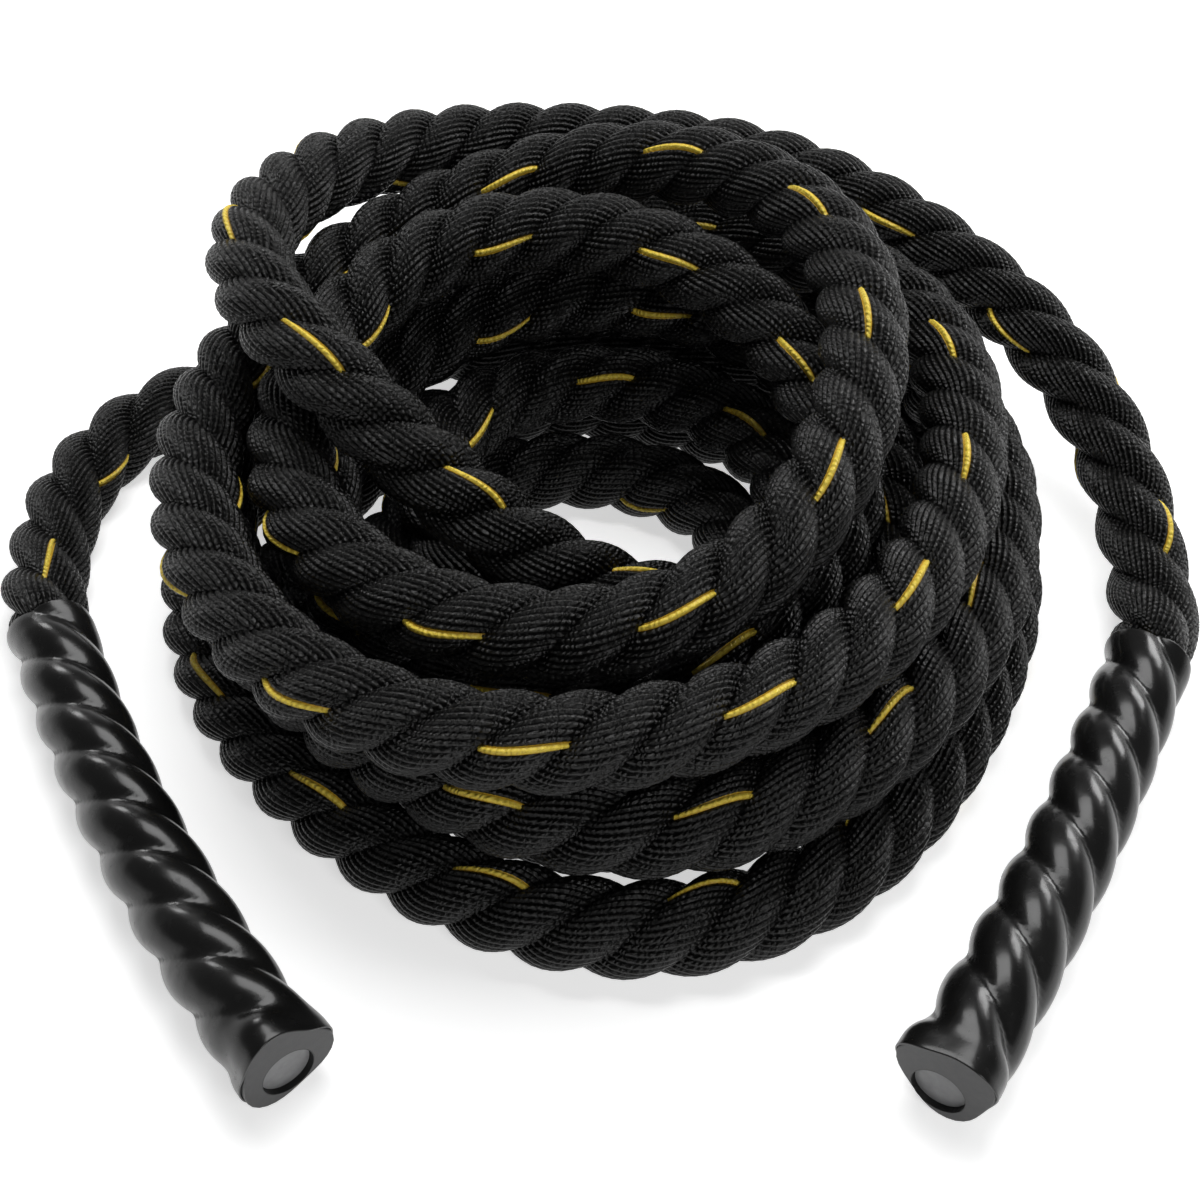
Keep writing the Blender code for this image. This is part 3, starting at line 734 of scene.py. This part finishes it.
def sleeveMaterial():
    # Shrunk tube: glossy and deep black, with faint ripples, small scuffs and a few dents
    look = sleeveFinish
    bench = NodeBench(bpy.data.materials.new("sleeveGlossBlack"))
    place = bench.objectPlace()
    broad = bench.noise(place, *look["broad"])
    scuffs = bench.ramp(bench.noise(place, *look["scuff"]), look["scuffs"])
    rough = bench.math("MULTIPLY_ADD", broad, look["roughnessSpread"], look["roughness"])
    rough = bench.math("MULTIPLY_ADD", scuffs, look["scuffRoughness"], rough)
    fine = bench.noise(place, *look["fine"])
    height = bench.math("MULTIPLY_ADD", fine, look["grain"], bench.noise(place, *look["ripple"]))
    bench.dress({
        "Base Color": bench.ramp(broad, look["black"]),
        "Roughness": rough,
        "Specular IOR Level": look["specular"],
        "Coat Weight": look["coat"],
        "Coat Roughness": look["coatRoughness"],
        "Normal": bench.bump(height, look["dentDepth"], look["dentStrength"]),
    })
    return bench.owner


def sleeveShell(side, along, inset):
    # Points of the sleeve's surface at these places from the mouth, sunk in by the inset
    grip = gripSizes[side]
    look = sleeveLook
    lobes = ropeSizes["strands"]
    angle = 2 * math.pi * np.arange(look["sides"]) / look["sides"]
    corner = math.radians(grip["corner"])
    # the lobes follow the strands, and at the cap they end in its corners
    turn = np.maximum(grip["length"] - along, 0) * 2 * math.pi / ropeSizes["layLength"]
    phase = angle[None, :] - corner - turn[:, None]
    crest = np.sqrt(np.cos(lobes / 2 * phase) ** 2 + look["creaseSoft"]) ** look["crease"] - 1
    corners = np.cos(lobes * (angle[None, :] - corner))
    atMouth = 1 - eased(along / look["mouthFlareLength"])
    atCap = eased(1 - (grip["length"] - along) / look["capFlareLength"])
    lobed = sleeveSizes["diameter"] / 2 + sleeveSizes["lobe"] + look["creaseDepth"] * crest
    lobed += look["mouthFlare"] * atMouth[:, None]
    flared = capSizes["radius"] + look["lipCurl"] + capSizes["corner"] * corners
    radius = lobed + (flared - lobed) * atCap[:, None] - inset[:, None]
    # an uneven mouth, and a lip that reaches further over the cap than under it
    waves = [share * np.sin(times * angle + shift) for times, shift, share in look["mouthWaves"]]
    wave = look["mouthWave"] * sum(waves)
    steep, raised = look["lipDropEdge"]
    drop = look["lipDrop"] * (0.5 - 0.5 * np.tanh(steep * np.sin(angle) - raised))
    drop += look["lipRipple"] * np.sin(look["lipRipples"] * angle)
    pastEnd = np.clip((along - grip["length"]) / look["lipOver"], 0, 1)
    place = along[:, None] + wave[None, :] * atMouth[:, None] - drop[None, :] * pastEnd[:, None]
    # laid round the bowed grip, above the floor
    heading = math.radians(grip["heading"]) + math.radians(grip["bend"]) / grip["length"] * place
    aside = np.stack([np.cos(heading), np.sin(heading), 0 * heading], axis=-1)
    offset = (radius * np.cos(angle)[None, :])[:, :, None] * aside
    offset[:, :, 2] += radius * np.sin(angle)[None, :]
    points = alongGrip(side, place) + centre + offset
    points[:, :, 2] = np.maximum(points[:, :, 2], 0.0)
    return points


def buildSleeve(side, material):
    # Outside from the mouth to the lip, round the rim, back inside and round the mouth's rim
    look = sleeveLook
    end = gripSizes[side]["length"] + look["lipOver"]
    along = np.linspace(0, end, round(end / look["step"]))
    curl = np.linspace(0, math.pi, look["edgeRings"] + 2)[1:-1]
    bead = look["wall"] / 2
    places = [along, end + bead * np.sin(curl), along[::-1], -bead * np.sin(curl), along[:1]]
    insets = [np.zeros_like(along), bead * (1 - np.cos(curl)), np.full_like(along, look["wall"]),
              bead * (1 + np.cos(curl)), [0.0]]
    shell = sleeveShell(side, np.concatenate(places), np.concatenate(insets))
    name = side + "GripSleeve"
    sleeve = newObject(name, sweptMesh(name, shell, capEnds=False))
    dressPiece(sleeve, material)
    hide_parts(side + "_grip_sleeve")


print("drawing the sleeves on")
glossBlack = sleeveMaterial()
for side in gripSizes:
    buildSleeve(side, glossBlack)


# Caps, discs, the binding tape and the rope's bound ends keep their solids
capFinish = {
    "colour": ((0.3, (0.046, 0.046, 0.047)), (0.7, (0.066, 0.066, 0.067))),
    "mottle": (300.0, 4.0),      # scale and detail
    "roughness": 0.38,
    # painted shade inside the disc's pocket
    "pocket": (0.008, 0.008, 0.008),
}
discFinish = {
    "colour": ((0.3, (0.24, 0.24, 0.245)), (0.7, (0.31, 0.31, 0.315))),
    "mottle": (300.0, 4.0),
    "roughness": 0.33,
}
tapeFinish = {
    "colour": ((0.3, (0.03, 0.03, 0.03)), (0.7, (0.06, 0.06, 0.06))),
    "mottle": (500.0, 4.0),
    "roughness": 0.63,
}
plainGrain = {
    "spread": 0.15,              # of the roughness
    "noise": (1200.0, 2.0),
    "depth": 0.0001,
    "strength": 0.4,
}


def plainMaterial(name, look, pocket=None):
    bench = NodeBench(bpy.data.materials.new(name))
    place = bench.objectPlace()
    mottle = bench.noise(place, *look["mottle"])
    colour = bench.ramp(mottle, look["colour"])
    if pocket:
        # painted shade: nearly black inside the pocket, on its wall and round the disc
        point, axis, radius = pocket
        fromAxis = bench.vectorMath("CROSS_PRODUCT", bench.vectorMath("SUBTRACT", place, point), axis)
        inside = bench.math("LESS_THAN", bench.vectorMath("LENGTH", fromAxis), radius)
        colour = bench.mix(inside, colour, look["pocket"])
    grain = bench.noise(place, *plainGrain["noise"])
    bench.dress({
        "Base Color": colour,
        "Roughness": bench.math("MULTIPLY_ADD", mottle, plainGrain["spread"], look["roughness"]),
        "Normal": bench.bump(grain, plainGrain["depth"], plainGrain["strength"]),
    })
    return bench.owner


def capMaterial(side):
    # The middle and axis of the pocket with painted shade are given in the cap's own coordinates
    end, aside, up, outward = capFrame(side)
    right, above = gripSizes[side]["disc"]
    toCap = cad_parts[side + "_end_cap"].matrix_world.inverted()
    point = toCap @ Vector(end + centre + right * aside + above * up)
    axis = toCap.to_3x3() @ Vector(outward)
    radius = capSizes["discDiameter"] / 2 + 2 * capSizes["fit"]
    return plainMaterial(side + "CapSatin", capFinish, (point, axis, radius))


def finishNode(node, material):
    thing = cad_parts[node]
    setMaterial(thing, material)
    for polygon in thing.data.polygons:
        polygon.material_index = 0


print("finishing the caps, discs and tape")
discSatin = plainMaterial("discSatin", discFinish)
clothTape = plainMaterial("clothTape", tapeFinish)
for side in gripSizes:
    finishNode(side + "_end_cap", capMaterial(side))
    finishNode(side + "_cap_disc", discSatin)
    finishNode(side + "_end_whipping", clothTape)
    finishNode(side + "_rope_end", clothTape)


# Floor and light
stageLook = {
    "floorHalf": 4.0,
    "floorColour": (0.9, 0.9, 0.9),
    "floorRoughness": 0.9,
    "floorGlow": 0.6,            # only where it is seen directly
    "white": (1.0, 1.0, 1.0),
    "ceiling": (0.12, 0.12, 0.12),
    "backdropTop": (0.06, 0.34),   # where the white backdrop fades into the ceiling, 1 being overhead
    "fill": 0.26,                # the world's strength as light on the object
}
lamps = {
    "topSoftbox": {
        "place": (0.05, 0.5, 1.45), "aim": (0, 0, 0), "size": (1.1, 0.8), "power": 16.0},
    "backLeftSoftbox": {
        "place": (-0.8, 1.2, 0.75), "aim": (-0.1, 0, 0.05), "size": (0.3, 0.3), "power": 2.5},
    "backRightSoftbox": {
        "place": (0.95, 0.75, 0.6), "aim": (0.25, -0.15, 0.02), "size": (0.5, 0.4), "power": 5.5},
    "frontSoftbox": {
        "place": (0.6, -1.2, 1.0), "aim": (0, -0.2, 0.02), "size": (0.6, 0.5), "power": 5.5},
}


def buildFloor():
    half = stageLook["floorHalf"]
    corners = [(-half, -half, 0), (half, -half, 0), (half, half, 0), (-half, half, 0)]
    mesh = bpy.data.meshes.new("floor")
    mesh.from_pydata(corners, [], [(0, 1, 2, 3)])
    floor = newObject("floor", mesh)
    bench = NodeBench(bpy.data.materials.new("floorPale"))
    bench.dress({
        "Base Color": stageLook["floorColour"],
        "Roughness": stageLook["floorRoughness"],
        "Emission Color": stageLook["white"],
        "Emission Strength": bench.math("MULTIPLY", bench.seenShare(), stageLook["floorGlow"]),
    })
    setMaterial(floor, bench.owner)


def buildWorld():
    # A studio: a white backdrop round the horizon, and above it a dim ceiling
    world = bpy.data.worlds.new("studio")
    bpy.context.scene.world = world
    bench = NodeBench(world, "Background")
    direction = bench.parts(bench.node("ShaderNodeTexCoord").outputs["Generated"])
    low, high = stageLook["backdropTop"]
    strength = bench.node("ShaderNodeMapRange")
    bench.feed(strength.inputs["Value"], bench.seenShare())
    bench.feed(strength.inputs["To Min"], stageLook["fill"])
    bench.dress({
        "Color": bench.ramp(direction["Z"], ((low, stageLook["white"]), (high, stageLook["ceiling"]))),
        "Strength": strength.outputs["Result"],
    })


def softLight(name, place, aim, size, power):
    lamp = bpy.data.lights.new(name, "AREA")
    lamp.shape = "RECTANGLE"
    lamp.size, lamp.size_y = size
    lamp.energy = power
    holder = newObject(name, lamp)
    holder.location = place
    holder.rotation_euler = (Vector(aim) - Vector(place)).to_track_quat("-Z", "Y").to_euler()


print("setting the stage")
buildFloor()
buildWorld()
for name, lamp in lamps.items():
    softLight(name, **lamp)

bpy.context.scene.view_settings.view_transform = "Standard"
